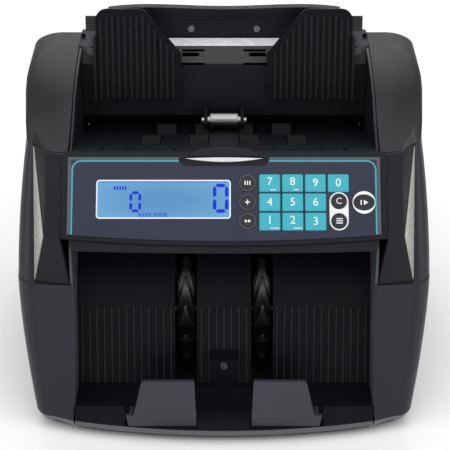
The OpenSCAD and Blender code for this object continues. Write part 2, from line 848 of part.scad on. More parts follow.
// Point of a finger, at distance r from the wheel's centre, finger k
function finger_angle(r, k) =
    4 + k * 360 / wheel_fingers - 52 * pow((wheel_r - r) / (wheel_r - 10), 0.8);
function finger_yz(r, k, side) =
    let (a = finger_angle(r, k), off = side * 1.1)
    [-r * cos(a) - off * sin(a), r * sin(a) - off * cos(a)];

// One curved finger, pointed at its outer end like an arrow head
module finger(k) {
    radii = [10, 14, 18, 23, 28, 33, 36, 38.5, wheel_r];
    taper_r = 22;
    half = [for (r = radii) r < taper_r ? wheel_w / 2
        : mix(wheel_w / 2, 0.8, pow((r - taper_r) / (wheel_r - taper_r), 1.2))];
    rings = [for (i = [0 : len(radii) - 1])
        let (a = finger_yz(radii[i], k, 1), b = finger_yz(radii[i], k, -1), h = half[i])
        [[-h, a[0], a[1]], [h, a[0], a[1]], [h, b[0], b[1]], [-h, b[0], b[1]]]];
    skin(rings);
}

module finger_wheels() {
    color(shell_c) both_sides()
        translate([wheel_x, wheel_yz[0], wheel_yz[1]]) {
            difference() {
                rotate([0, 90, 0]) cylinder(h = wheel_w, r = 12, center = true);
                rotate([0, 90, 0]) cylinder(h = wheel_w + 2, d = shaft_d, center = true);
            }
            for (k = [0 : wheel_fingers - 1]) finger(k);
        }
}

module finger_wheel_shaft() {
    color(steel_c) rod_x(-115, 112, shaft_d, wheel_yz);
    color(grey_c) pulley(-feed_belt_x - belt_w, shaft_pulley_r, wheel_yz);
}

// Motor with its shaft end at x1; dir is 1 when the shaft leaves to the right
module motor(yz, dir) {
    face = hopper_half_w - 0.2;
    mirror([dir < 0 ? 1 : 0, 0, 0]) {
        difference() {
            union() {
                rod_x(face - 62, face - 2, motor_d, yz);
                rod_x(face - 68, face - 61, motor_d - 16, yz);
                translate([face - 2.2, yz[0] - motor_d / 2 - 2, yz[1] - motor_d / 2 - 2])
                    cube([2.2, motor_d + 4, motor_d + 4]);
            }
            rod_x(face - 30, face + 2, 5.1, yz);
            for (dy = [-1, 1], dz = [-1, 1])
                rod_x(face - 5, face + 2, 3.4,
                    yz + [dy * (motor_d / 2 - 1), dz * (motor_d / 2 - 1)]);
        }
    }
}

module feed_motor() { color(grey_c) motor(feed_motor_yz, 1); }
module stacker_motor() { color(grey_c) motor(stacker_motor_yz, -1); }

module motor_pulley(yz) {
    rod_x(hopper_half_w - 28, feed_belt_x + belt_w + 2, 5, yz);
    pulley(feed_belt_x, motor_pulley_r, yz);
}

module feed_motor_pulley() { color(steel_c) motor_pulley(feed_motor_yz); }

module stacker_motor_pulley() {
    color(steel_c) mirror([1, 0, 0]) motor_pulley(stacker_motor_yz);
}

// Flat belt round two pulleys, a little off their rims
module belt(x, a, ra, b, rb) {
    translate([x + 0.5, 0, 0]) rotate([90, 0, 90]) linear_extrude(belt_w - 1) difference() {
        hull() {
            translate(a) circle(r = ra + belt_gap + belt_t);
            translate(b) circle(r = rb + belt_gap + belt_t);
        }
        hull() {
            translate(a) circle(r = ra + belt_gap);
            translate(b) circle(r = rb + belt_gap);
        }
    }
}

module drive_belts() {
    color(rubber_c) {
        belt(feed_belt_x, feed_motor_yz, motor_pulley_r, feed_yz, shaft_pulley_r);
        belt(kicker_belt_x, feed_yz, shaft_pulley_r, kicker_yz, shaft_pulley_r);
        belt(-feed_belt_x - belt_w, stacker_motor_yz, motor_pulley_r,
            wheel_yz, shaft_pulley_r);
    }
}

// Ribbed plate behind the stacked notes, curving back under the feed rollers
plate_low = [-70, 14.4];
plate_high = [-46, 76];
module plate_rib(x, low, len) {
    translate([x - 0.45, -1.2, low]) cube([0.9, 1.7, len - 9.5 - low]);
}

module stacker_plate() {
    w = 2 * (hopper_half_w - 0.2);
    t = 2.2;
    steps = 8;
    // The curve leaves the plate along its slope and ends under the throat
    curve = [for (i = [0 : steps]) let (k = i / steps)
        plate_high * pow(1 - k, 2) + [-34, 107] * 2 * k * (1 - k) + [38, 131] * k * k];
    back = [for (i = [steps : -1 : 0]) curve[i] + [t * 0.5, -t]];
    // It then wraps the back of the feed rollers
    wrap = [for (a = [255 : 15 : 375]) feed_yz + (feed_r + 2.8) * [cos(a), sin(a)]];
    wrap_back = [for (a = [375 : -15 : 255]) feed_yz + (feed_r + 2.8 + t) * [cos(a), sin(a)]];
    lean = atan2(plate_high[0] - plate_low[0], plate_high[1] - plate_low[1]);
    len = norm(plate_high - plate_low);
    color(black_c) difference() {
        union() {
            across(w, concat([plate_low], curve, wrap, wrap_back, back,
                [[plate_high[0] + t, plate_high[1] - 1], [plate_low[0] + t, plate_low[1]]]));
            translate([0, plate_low[0], plate_low[1]]) rotate([-lean, 0, 0]) {
                both_sides() {
                    for (i = [0 : 12]) plate_rib(37.6 + i * plate_rib_pitch, 0.5, len);
                    for (i = [2 : 3]) plate_rib(i * plate_rib_pitch + 0.2, 0.5, len);
                    plate_rib(plate_rib_pitch, 25.5, len);
                }
                plate_rib(0, 25.5, len);
            }
        }
        both_sides() translate([wheel_x - wheel_w / 2 - 1.2, -100, 10])
            cube([wheel_w + 2.4, 115, 105]);
    }
}

// Floor below the stacked notes
tray_y = lip_edge[0] + lip_t + 0.5;
tray_screw = [-74.8, 33];
module stacker_tray() {
    w = hopper_half_w - 0.8;
    color(black_c) {
        across(2 * w, [[tray_y, 9.9], [tray_y, 12.1], [-71.5, 14.2], [-66, 14.2],
            [-66, 11.6], [-72, 11.6]]);
        // Tongue behind the note stops
        across(132, [[-110.8, 8.2], [-110.8, 10.4], [tray_y + 1, 12.15], [tray_y + 1, 9.95]]);
        both_sides() for (x = [30, 90]) translate([x, -84, base_z])
            cube([3, 16, 6.4]);
        // Block over the tray's screw
        difference() {
            across(20, [[tray_screw[0], 13.6], [tray_screw[0], 37.2], [-62.24, 37.2],
                [-71.4, 14.2]]);
            translate([0, -60, tray_screw[1]]) rotate([90, 0, 0]) cylinder(h = 30, d = 2.6);
        }
    }
}

// Note stops that stand in seats of the front lip
module note_stop() {
    low_z = 12.2;
    low_y = -117.3;
    high_y = -113.4;
    t = 3;
    lean = atan2(high_y - low_y, stop_top_z - low_z);
    height = (stop_top_z - low_z) / cos(lean);
    translate([0, low_y, low_z]) rotate([-lean, 0, 0]) {
        translate([0, t, 0]) rotate([90, 0, 0]) linear_extrude(t)
            polygon([[19, 0], [65.6, 0], [67.6, 8.4], [62.1, 8.4], [56.6, height - 2], [54.6, height],
                [21, height], [20.2, height - 0.8]]);
    }
    // Outer flange, standing proud of the lip
    translate([62.6, 0, 0]) between_x(0, 2.6,
        [[low_y + 1, low_z], [low_y + 1.8, lip_edge[1]], [lip_edge[0], lip_edge[1]],
        [lip_edge[0], low_z]]);
    // Inner rib
    translate([19, 0, 0]) between_x(0, 2,
        [[low_y + 1, low_z], [low_y + 2, 25], [low_y + 10, low_z]]);
}

module note_stops() { color(grey_c) both_sides() note_stop(); }

// ---- Electrics ----

module main_board() {
    color(board_c) {
        translate([-90, 103, 62]) cube([180, 1.6, 112]);
        for (x = [-70, -20, 40]) translate([x, 99.4, 84]) cube([22, 3.6, 16]);
        for (x = [-80, 68]) translate([x, 95, 150]) cube([14, 8, 18]);
        // Standoffs on the rear cover
        both_sides() for (z = [68, 168]) translate([84, 104.5, z]) rotate([-90, 0, 0])
            cylinder(h = back_y - wall - 104.6, d = 6);
    }
}

module transformer() {
    color(grey_c) {
        translate([24, 50, base_z]) cube([58, 48, 44]);
        translate([34, 42, base_z + 6]) cube([38, 64, 32]);
        translate([16, 62, base_z]) cube([74, 24, 2.5]);
    }
}

// Mains inlet, fuse drawer and switch housing in one module
switch_x = inlet_c[0] - 16;
module power_inlet() {
    color(black_c) {
        difference() {
            translate([inlet_c[0] - 24.8, back_y - 34, inlet_c[1] - 14.3])
                cube([49.6, 34, 28.6]);
            // Socket and its three blades' well
            translate([inlet_c[0] - 3, back_y - 18, inlet_c[1] - 9]) cube([24, 20, 18]);
            // Switch well
            translate([switch_x - 6.4, back_y - 10, inlet_c[1] - 10.6]) cube([12.8, 12, 21.2]);
        }
        for (dx = [3, 9, 15])
            translate([inlet_c[0] + dx - 1, back_y - 18.5, inlet_c[1] - 2 + (dx == 9 ? 3 : -2)])
                cube([2, 13, 4]);
    }
}

// Rocker, modelled with its upper end pressed in
module power_switch() {
    color([0.5, 0.1, 0.08]) translate([switch_x, back_y - 5.4, inlet_c[1]]) rotate([-8, 0, 0]) {
        between_x(-6, 6, [[-3, -7], [3.2, -9.4], [2.2, 0], [3.2, 9.4], [-3, 7]]);
        rod_x(-6.2, 6.2, 4, [0, 0]);
    }
}

module adjust_knob() {
    color(black_c) translate([0, 107, 0]) {
        difference() {
            translate([0, 0, 214.9]) cylinder(h = 9, d = 16);
            for (a = [0 : 30 : 330]) rotate([0, 0, a])
                translate([8.6, 0, 217]) cylinder(h = 10, r = 1.6);
        }
        translate([0, 0, 190]) cylinder(h = 25, d = 6);
    }
}

// Pan-head screw, head outwards along -Y, standing on the plane y = 0
module screw_head() {
    difference() {
        rotate([90, 0, 0]) cylinder(h = 1.6, d1 = 5.6, d2 = 4.6);
        for (a = [0, 90]) rotate([0, a, 0])
            translate([-1.5, -2, -0.35]) cube([3, 1.2, 0.7]);
    }
}

module screws() {
    color(steel_c) {
        both_sides() translate([24.2, crest_y[0] - rail_t, 220]) screw_head();
        translate([0, tray_screw[0], tray_screw[1]]) screw_head();
        for (sx = [-1, 1], z = [16, 176]) translate([sx * 96, back_y, z])
            mirror([0, 1, 0]) screw_head();
    }
}

module side_cover_right() { color(shell_c) side_cover(); }
module side_cover_left() { color(shell_c) mirror([1, 0, 0]) side_cover(); }
module upper_cover_right() { color(shell_c) upper_cover(); }
module upper_cover_left() { color(shell_c) mirror([1, 0, 0]) upper_cover(); }
module pillar_trims() { color(light_c) both_sides() pillar_trim(); }
module side_frame_right() { side_frame(); }
module side_frame_left() { mirror([1, 0, 0]) side_frame(); }

base_pan();
feet();
side_cover_left();
side_cover_right();
upper_cover_left();
upper_cover_right();
console();
pillar_trims();
front_lip();
rear_cover();
panel_overlay();
lcd_window();
key_0();
key_1();
key_2();
key_3();
key_4();
key_5();
key_6();
key_7();
key_8();
key_9();
key_count();
key_add();
key_speed();
key_clear();
key_batch();
key_restart();
panel_board();
main_board();
transformer();
side_frame_left();
side_frame_right();
hopper_floor();
hopper_back();
guide_left();
guide_right();
carrier_left();
carrier_right();
kicker_shaft();
kicker_tyres();
feed_shaft();
feed_tyres();
separating_roller();
finger_wheel_shaft();
finger_wheels();
feed_motor();
feed_motor_pulley();
stacker_motor();
stacker_motor_pulley();
drive_belts();
stacker_plate();
stacker_tray();
note_stops();
notch_trim();
spec_label();
power_inlet();
power_switch();
adjust_knob();
screws();
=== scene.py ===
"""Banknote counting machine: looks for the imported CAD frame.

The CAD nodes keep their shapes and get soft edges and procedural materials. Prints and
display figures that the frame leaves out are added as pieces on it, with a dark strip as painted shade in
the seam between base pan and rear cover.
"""
import math
import random

import bmesh
import bpy
from mathutils import Matrix, Vector


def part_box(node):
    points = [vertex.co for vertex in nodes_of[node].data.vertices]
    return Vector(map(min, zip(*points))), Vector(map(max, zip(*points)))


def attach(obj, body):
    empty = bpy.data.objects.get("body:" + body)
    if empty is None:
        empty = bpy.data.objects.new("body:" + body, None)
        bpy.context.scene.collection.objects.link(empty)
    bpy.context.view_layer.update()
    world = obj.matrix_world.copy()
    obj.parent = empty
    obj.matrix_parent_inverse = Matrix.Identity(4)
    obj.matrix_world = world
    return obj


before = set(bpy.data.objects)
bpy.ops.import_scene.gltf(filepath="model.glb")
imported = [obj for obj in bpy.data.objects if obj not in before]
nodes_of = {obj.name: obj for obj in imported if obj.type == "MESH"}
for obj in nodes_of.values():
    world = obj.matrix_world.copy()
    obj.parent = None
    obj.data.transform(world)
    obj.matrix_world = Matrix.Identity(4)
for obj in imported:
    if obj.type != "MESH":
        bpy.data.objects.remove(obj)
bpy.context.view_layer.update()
random.seed(7)

MM = 0.001

# The control panel, as the part's design places it
PANEL_TILT = math.radians(49)
PANEL_ORIGIN = Vector((0, -0.040, 0.183))
OVERLAY_TOP = 0.8 * MM
KEY_TOP = 1.5 * MM
PANEL = Matrix.Translation(PANEL_ORIGIN) @ Matrix.Rotation(PANEL_TILT, 4, "X")


# ---------------------------------------------------------------- materials

def new_material(name):
    mat = bpy.data.materials.new(name)
    mat.use_nodes = True
    tree = mat.node_tree
    tree.nodes.clear()
    out = tree.nodes.new("ShaderNodeOutputMaterial")
    shader = tree.nodes.new("ShaderNodeBsdfPrincipled")
    tree.links.new(shader.outputs["BSDF"], out.inputs["Surface"])
    return mat, tree, shader


def add(tree, kind, **values):
    node = tree.nodes.new(kind)
    for key, value in values.items():
        if key in node.inputs:
            node.inputs[key].default_value = value
        else:
            setattr(node, key, value)
    return node


def object_coords(tree):
    return add(tree, "ShaderNodeTexCoord").outputs["Object"]


def noise(tree, coords, scale, detail=3.0, roughness=0.55):
    node = add(tree, "ShaderNodeTexNoise", Scale=scale, Detail=detail, Roughness=roughness)
    tree.links.new(coords, node.inputs["Vector"])
    return node.outputs["Fac"]


def spread(tree, value, low, high, from_low=0.3, from_high=0.7):
    """Maps a 0-1 noise onto low-high."""
    node = add(tree, "ShaderNodeMapRange")
    node.inputs["From Min"].default_value = from_low
    node.inputs["From Max"].default_value = from_high
    node.inputs["To Min"].default_value = low
    node.inputs["To Max"].default_value = high
    tree.links.new(value, node.inputs["Value"])
    return node.outputs["Result"]


def two_tone(tree, value, dark, light):
    node = add(tree, "ShaderNodeMix", data_type="RGBA")
    tree.links.new(value, node.inputs["Factor"])
    node.inputs["A"].default_value = (*dark, 1)
    node.inputs["B"].default_value = (*light, 1)
    return node.outputs["Result"]


def bump(tree, height, strength, distance, normal=None):
    node = add(tree, "ShaderNodeBump", Strength=strength, Distance=distance)
    tree.links.new(height, node.inputs["Height"])
    if normal is not None:
        tree.links.new(normal, node.inputs["Normal"])
    return node.outputs["Normal"]


def shade(color, factor):
    return tuple(min(1.0, c * factor) for c in color)


def beyond(tree, coords, normal, level, blend=0.0002):
    """1 past the plane normal . p = level (metres), 0 before it."""
    reach = add(tree, "ShaderNodeVectorMath", operation="DOT_PRODUCT")
    tree.links.new(coords, reach.inputs[0])
    reach.inputs[1].default_value = normal
    return spread(tree, reach.outputs["Value"], 0, 1, level - blend, level + blend)


def plastic(name, color, rough, grain=0.35, grain_scale=2600, gloss=0.0, spec=0.3, zone=None):
    """Moulded plastic: fine spark grain, slow colour drift, and faint handling marks.

    zone is (normal, level, colour): the colour past a plane, for a part moulded in
    two tones, or for the paler painted highlight on the tops of raised ribs.
    """
    mat, tree, shader = new_material(name)
    coords = object_coords(tree)
    drift = noise(tree, coords, 14, 4)
    marks = noise(tree, coords, 160, 6, 0.7)
    fine = noise(tree, coords, grain_scale, 2, 0.5)
    color_out = two_tone(tree, spread(tree, drift, 0, 1), shade(color, 0.88), shade(color, 1.12))
    if zone:
        normal, level, other = zone
        blend = add(tree, "ShaderNodeMix", data_type="RGBA")
        tree.links.new(beyond(tree, coords, normal, level), blend.inputs["Factor"])
        tree.links.new(color_out, blend.inputs["A"])
        blend.inputs["B"].default_value = (*other, 1)
        color_out = blend.outputs["Result"]
    tree.links.new(color_out, shader.inputs["Base Color"])
    rough_out = spread(tree, marks, rough - 0.05, rough + 0.05)
    tree.links.new(rough_out, shader.inputs["Roughness"])
    tree.links.new(bump(tree, fine, grain, 0.00006), shader.inputs["Normal"])
    shader.inputs["Specular IOR Level"].default_value = spec
    shader.inputs["Coat Weight"].default_value = gloss
    shader.inputs["Coat Roughness"].default_value = 0.12
    return mat


def rubber(name, color, rough=0.8):
    """Ground rubber: open matt pores and paler scuffed patches."""
    mat, tree, shader = new_material(name)
    coords = object_coords(tree)
    pores = noise(tree, coords, 1800, 4, 0.7)
    scuff = noise(tree, coords, 120, 5, 0.65)
    color_out = two_tone(tree, spread(tree, scuff, 0, 1, 0.45, 0.75), color, shade(color, 2.2))
    tree.links.new(color_out, shader.inputs["Base Color"])
    tree.links.new(spread(tree, scuff, rough - 0.1, rough + 0.1), shader.inputs["Roughness"])
    tree.links.new(bump(tree, pores, 0.5, 0.00012), shader.inputs["Normal"])
    shader.inputs["Specular IOR Level"].default_value = 0.2
    return mat


def metal(name, color, rough, stretch=(1, 40, 40), scale=60, strength=0.25):
    """Ground or plated metal, its grinding lines running round the X axis."""
    mat, tree, shader = new_material(name)
    coords = object_coords(tree)
    mapping = add(tree, "ShaderNodeMapping", Scale=stretch)
    tree.links.new(coords, mapping.inputs["Vector"])
    lines = noise(tree, mapping.outputs["Vector"], scale, 5, 0.7)
    stain = noise(tree, coords, 45, 4)
    color_out = two_tone(tree, spread(tree, stain, 0, 1), shade(color, 0.85), color)
    tree.links.new(color_out, shader.inputs["Base Color"])
    tree.links.new(spread(tree, lines, rough - 0.06, rough + 0.08), shader.inputs["Roughness"])
    tree.links.new(bump(tree, lines, strength, 0.00004), shader.inputs["Normal"])
    shader.inputs["Metallic"].default_value = 1.0
    return mat


def printed(name, color, rough=0.45, glow=0.0):
    """Screen-printed ink or film, very slightly mottled."""
    mat, tree, shader = new_material(name)
    coords = object_coords(tree)
    mottle = noise(tree, coords, 900, 3)
    color_out = two_tone(tree, spread(tree, mottle, 0, 1), shade(color, 0.94), shade(color, 1.04))
    tree.links.new(color_out, shader.inputs["Base Color"])
    tree.links.new(spread(tree, mottle, rough - 0.04, rough + 0.04), shader.inputs["Roughness"])
    tree.links.new(bump(tree, mottle, 0.15, 0.00003), shader.inputs["Normal"])
    shader.inputs["Specular IOR Level"].default_value = 0.25
    if glow:
        tree.links.new(color_out, shader.inputs["Emission Color"])
        shader.inputs["Emission Strength"].default_value = glow
    return mat


def display(name):
    """Back-lit window: deeper blue in the middle, paler towards its corners."""
    mat, tree, shader = new_material(name)
    low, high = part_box("lcd_window")
    coords = object_coords(tree)
    mapping = add(tree, "ShaderNodeMapping")
    centre = (low + high) / 2
    half = (high - low) / 2
    mapping.inputs["Location"].default_value = (-centre.x / half.x, 0, -centre.z / half.z)
    mapping.inputs["Scale"].default_value = (1 / half.x, 0, 1 / half.z)
    tree.links.new(coords, mapping.inputs["Vector"])
    length = add(tree, "ShaderNodeVectorMath", operation="LENGTH")
    tree.links.new(mapping.outputs["Vector"], length.inputs[0])
    away = spread(tree, length.outputs["Value"], 0, 1, 0.35, 1.35)
    color_out = two_tone(tree, away, (0.045, 0.17, 0.34), (0.080, 0.24, 0.41))
    tree.links.new(color_out, shader.inputs["Base Color"])
    tree.links.new(color_out, shader.inputs["Emission Color"])
    shader.inputs["Emission Strength"].default_value = 0.4
    pixels = noise(tree, coords, 3000, 1)
    tree.links.new(spread(tree, pixels, 0.25, 0.35), shader.inputs["Roughness"])
    return mat


# Planes that part the two tones of a node, or a rib's painted highlight from its face: a unit
# normal, and a level in metres along it. The guides and the stacker plate lean back by these angles.
GUIDE_LEAN = math.radians(13.2)
PLATE_LEAN = math.radians(21.29)
RIB_SHOWS = 0.8 * MM
UP = (0, 0, 1)
DOWN = (0, 0, -1)
GUIDE_UP = (0, math.sin(GUIDE_LEAN), math.cos(GUIDE_LEAN))
GUIDE_FRONT = (0, -math.cos(GUIDE_LEAN), math.sin(GUIDE_LEAN))
PLATE_FRONT = (0, -math.cos(PLATE_LEAN), math.sin(PLATE_LEAN))
BRACKET_TOP = 236.4 * MM
GUIDE_RIB_HIGHLIGHT = -13.94 * MM + RIB_SHOWS
PLATE_RIB_HIGHLIGHT = 70.46 * MM + RIB_SHOWS
RIM_HEIGHT = 11.5 * MM
STACKER_HEIGHT = 125 * MM
STRIP_HEIGHT = 201.7 * MM

RIM_TONE = (0.115, 0.115, 0.125)
SHELL = plastic("shell_black", (0.006, 0.0062, 0.010), 0.45, grain=0.4, spec=0.18)
CONSOLE = plastic("console_black", (0.006, 0.0065, 0.0105), 0.42, grain=0.4, spec=0.2)
LIP = plastic("lip_black", (0.004, 0.0042, 0.007), 0.5, grain=0.4, spec=0.09,
              zone=(DOWN, -RIM_HEIGHT, RIM_TONE))
COVER = plastic("cover_black", (0.011, 0.012, 0.019), 0.42, grain=0.4,
                zone=(DOWN, -RIM_HEIGHT, RIM_TONE))
EAR = plastic("shell_upper", (0.014, 0.0138, 0.017), 0.46, grain=0.4, spec=0.25)
INNER = plastic("inner_black", (0.0045, 0.0048, 0.0085), 0.5, grain=0.3, spec=0.14)
# Painted highlight: the tops of the stacker plate ribs get a paler colour where they would catch the
# light.
PLATE = plastic("plate_black", (0.004, 0.0042, 0.0075), 0.5, grain=0.3, spec=0.1,
                zone=(PLATE_FRONT, PLATE_RIB_HIGHLIGHT, (0.022, 0.022, 0.026)))
WALLS = plastic("wall_black", (0.008, 0.009, 0.013), 0.38, grain=0.25,
                zone=(DOWN, -STACKER_HEIGHT, (0.075, 0.085, 0.105)))
# Painted highlight: the tops of the guide ribs get a paler colour where they would catch the light.
GUIDE = plastic("guide_black", (0.003, 0.0032, 0.0055), 0.45, grain=0.25, spec=0.09,
                zone=(GUIDE_FRONT, GUIDE_RIB_HIGHLIGHT, (0.014, 0.014, 0.018)))
FINGER = plastic("finger_black", (0.010, 0.010, 0.013), 0.3, grain=0.2, spec=0.5)
GREY = plastic("grey_plastic", (0.060, 0.062, 0.070), 0.5, grain=0.35,
               zone=(GUIDE_UP, BRACKET_TOP, (0.010, 0.010, 0.013)))
BACK = plastic("back_sheet", (0.0045, 0.0048, 0.0085), 0.5, grain=0.3, spec=0.14,
               zone=(UP, STRIP_HEIGHT, (0.050, 0.050, 0.055)))
STOP = plastic("stop_grey", (0.034, 0.036, 0.046), 0.42, grain=0.3)
OVERLAY = plastic("overlay_slate", (0.020, 0.023, 0.046), 0.4, grain=0.55, grain_scale=3800)
TRIM = plastic("trim_silver", (0.42, 0.41, 0.38), 0.28, grain=0.1, gloss=0.4)
INLET = plastic("inlet_black", (0.010, 0.010, 0.011), 0.5)
SWITCH = plastic("switch_red", (0.35, 0.012, 0.01), 0.25, grain=0.1, gloss=0.6)
MOTOR_TAPE = plastic("transformer_iron", (0.12, 0.10, 0.07), 0.6)
PAN = plastic("pan_paint", (0.02, 0.02, 0.022), 0.55, grain=0.6, grain_scale=1400)
BOARD = plastic("circuit_board", (0.015, 0.11, 0.045), 0.35, grain=0.2)
KEY_DARK = plastic("key_black", (0.018, 0.019, 0.028), 0.38, grain=0.25)
CYAN = printed("key_cyan", (0.045, 0.39, 0.47), 0.4)
PRINT_CYAN = printed("print_cyan", (0.040, 0.33, 0.42), 0.4)
PRINT_WHITE = printed("print_white", (0.78, 0.79, 0.80), 0.45)
PRINT_GREY = printed("print_grey", (0.10, 0.10, 0.11), 0.5)
PRINT_EDGE = printed("print_edge", (0.085, 0.088, 0.10), 0.45)
PAPER = printed("label_white", (0.84, 0.84, 0.90), 0.7)
LABEL_INK = printed("label_ink", (0.42, 0.42, 0.45), 0.6)
SEGMENT = printed("lcd_segment", (0.0006, 0.014, 0.50), 0.5, glow=0.25)
BEZEL = printed("lcd_bezel", (0.74, 0.78, 0.84), 0.35)
FOOT = rubber("foot_rubber", (0.012, 0.012, 0.012))
TYRE = rubber("tyre_rubber", (0.0035, 0.0035, 0.005), 0.8)
BELT = rubber("belt_rubber", (0.010, 0.010, 0.010), 0.6)
# Painted shade: a matt black strip stands for the shadow in the seam between base pan and rear cover.
SEAM_SHADE = rubber("seam_shade_black", (0.004, 0.004, 0.004), 0.9)
SHAFT = metal("shaft_steel", (0.10, 0.10, 0.11), 0.35)
ROLLER = metal("roller_steel", (0.36, 0.36, 0.38), 0.25)
ZINC = metal("motor_zinc", (0.45, 0.45, 0.44), 0.4)
SCREW = metal("screw_steel", (0.30, 0.30, 0.31), 0.32)
CHROME = metal("trim_chrome", (0.52, 0.52, 0.52), 0.16, strength=0.05)
LCD = display("display_glass")

FINISH = {
    SHELL: ["rear_cover"],
    CONSOLE: ["console"],
    COVER: ["side_cover_left", "side_cover_right"],
    LIP: ["front_lip"],
    EAR: ["upper_cover_left", "upper_cover_right"],
    INNER: ["hopper_floor", "stacker_tray"],
    PLATE: ["stacker_plate"],
    BACK: ["hopper_back"],
    WALLS: ["side_frame_left", "side_frame_right"],
    GUIDE: ["guide_left", "guide_right"],
    FINGER: ["finger_wheels"],
    GREY: ["carrier_left", "carrier_right"],
    STOP: ["note_stops"],
    OVERLAY: ["panel_overlay"],
    TRIM: ["pillar_trims"],
    INLET: ["power_inlet", "adjust_knob"],
    SWITCH: ["power_switch"],
    MOTOR_TAPE: ["transformer"],
    PAN: ["base_pan"],
    BOARD: ["panel_board", "main_board"],
    KEY_DARK: ["key_count", "key_add", "key_speed", "key_clear", "key_batch", "key_restart"],
    CYAN: [f"key_{digit}" for digit in range(10)],
    PAPER: ["spec_label"],
    FOOT: ["feet"],
    TYRE: ["kicker_tyres", "feed_tyres"],
    BELT: ["drive_belts"],
    SHAFT: ["kicker_shaft", "feed_shaft", "finger_wheel_shaft"],
    ROLLER: ["separating_roller"],
    ZINC: ["feed_motor", "stacker_motor", "feed_motor_pulley", "stacker_motor_pulley"],
    SCREW: ["screws"],
    CHROME: ["notch_trim"],
    LCD: ["lcd_window"],
}


def dress_nodes():
    for mat, names in FINISH.items():
        for name in names:
            mesh = nodes_of[name].data
            mesh.materials.clear()
            mesh.materials.append(mat)


# ---------------------------------------------------------------- soft edges

def rounding_group():
    """Joins the split CAD faces and shades them smooth up to 28 degrees."""
    group = bpy.data.node_groups.new("join_and_smooth", "GeometryNodeTree")
    group.interface.new_socket("Geometry", in_out="INPUT", socket_type="NodeSocketGeometry")
    group.interface.new_socket("Geometry", in_out="OUTPUT", socket_type="NodeSocketGeometry")
    source = group.nodes.new("NodeGroupInput")
    merge = group.nodes.new("GeometryNodeMergeByDistance")
    merge.inputs["Distance"].default_value = 0.004 * MM
    drop = group.nodes.new("GeometryNodeRemoveAttribute")
    drop.inputs["Name"].default_value = "custom_normal"
    faces = group.nodes.new("GeometryNodeSetShadeSmooth")
    faces.domain = "FACE"
    edges = group.nodes.new("GeometryNodeSetShadeSmooth")
    edges.domain = "EDGE"
    edges.inputs["Shade Smooth"].default_value = False
    angle = group.nodes.new("GeometryNodeInputMeshEdgeAngle")
    wide = group.nodes.new("FunctionNodeCompare")
    wide.inputs["B"].default_value = math.radians(28)
    sink = group.nodes.new("NodeGroupOutput")
    link = group.links.new
    link(source.outputs[0], merge.inputs["Geometry"])
    link(merge.outputs["Geometry"], drop.inputs["Geometry"])
    link(drop.outputs["Geometry"], faces.inputs["Geometry"])
    link(faces.outputs["Geometry"], edges.inputs["Geometry"])
    link(angle.outputs["Unsigned Angle"], wide.inputs["A"])
    link(wide.outputs["Result"], edges.inputs["Selection"])
    link(edges.outputs["Geometry"], sink.inputs[0])
    return group


# Edge radius of each kind of part, in millimetres; machined parts keep theirs small
EDGE_RADII = {
    0.9: ["side_cover_left", "side_cover_right", "upper_cover_left", "upper_cover_right",
          "rear_cover", "front_lip", "feet"],
    0.7: ["note_stops", "console"],
    0.45: ["hopper_back", "hopper_floor", "guide_left", "guide_right", "carrier_left",
           "carrier_right", "side_frame_left", "side_frame_right", "finger_wheels",
           "power_inlet", "power_switch", "adjust_knob", "transformer"],
    0.25: ["stacker_plate", "stacker_tray", "kicker_tyres", "feed_tyres", "separating_roller",
           "lcd_window", "notch_trim", "kicker_shaft", "feed_shaft", "finger_wheel_shaft",
           "feed_motor", "stacker_motor", "feed_motor_pulley", "stacker_motor_pulley"],
    0.15: [n for n in nodes_of if n.startswith("key_")] + ["panel_overlay", "screws"],
}


def soften_edges():
    group = rounding_group()
    radius_of = {name: radius for radius, names in EDGE_RADII.items() for name in names}
    for name, obj in nodes_of.items():
        joined = obj.modifiers.new("join_and_smooth", "NODES")
        joined.node_group = group
        if name not in radius_of:
            continue
        flat = obj.modifiers.new("flat_faces", "DECIMATE")
        flat.decimate_type = "DISSOLVE"
        flat.angle_limit = math.radians(0.4)
        round_off = obj.modifiers.new("edge_radius", "BEVEL")
        round_off.width = radius_of[name] * MM
        round_off.segments = 2
        round_off.limit_method = "ANGLE"
        round_off.angle_limit = math.radians(28)
        round_off.harden_normals = True
        round_off.use_clamp_overlap = True


# ---------------------------------------------------------------- printed detail

def prism(bm, outline, low, high):
    """A closed prism over a 2-D outline in the panel's plane."""
    base = [bm.verts.new((x, y, low)) for x, y in outline]
    top = [bm.verts.new((x, y, high)) for x, y in outline]
    bm.faces.new(top)
    bm.faces.new(base[::-1])
    count = len(outline)
    for i in range(count):
        j = (i + 1) % count
        bm.faces.new((base[i], base[j], top[j], top[i]))


def ribbon(bm, path, width, low, high, closed=False):
    """A raised line of even width along a 2-D path."""
    points = [Vector(p) for p in path]
    count = len(points)
    rings = []
    for i, point in enumerate(points):
        before_p = points[i - 1] if i > 0 or closed else point
        after_p = points[(i + 1) % count] if i < count - 1 or closed else point
        way_in = (point - before_p).normalized() if point != before_p else None
        way_out = (after_p - point).normalized() if after_p != point else None
        way = ((way_in or way_out) + (way_out or way_in)).normalized()
        across = Vector((-way.y, way.x))
        turn = across.dot(Vector((-(way_in or way_out).y, (way_in or way_out).x)))
        half = width / 2 / max(turn, 0.5)
        left, right = point + across * half, point - across * half
        rings.append([bm.verts.new((*left, low)), bm.verts.new((*right, low)),
                      bm.verts.new((*right, high)), bm.verts.new((*left, high))])
    spans = count if closed else count - 1
    for i in range(spans):
        a, b = rings[i], rings[(i + 1) % count]
        for k in range(4):
            m = (k + 1) % 4
            bm.faces.new((a[k], a[m], b[m], b[k]))
    if not closed:
        bm.faces.new(rings[0][::-1])
        bm.faces.new(rings[-1])


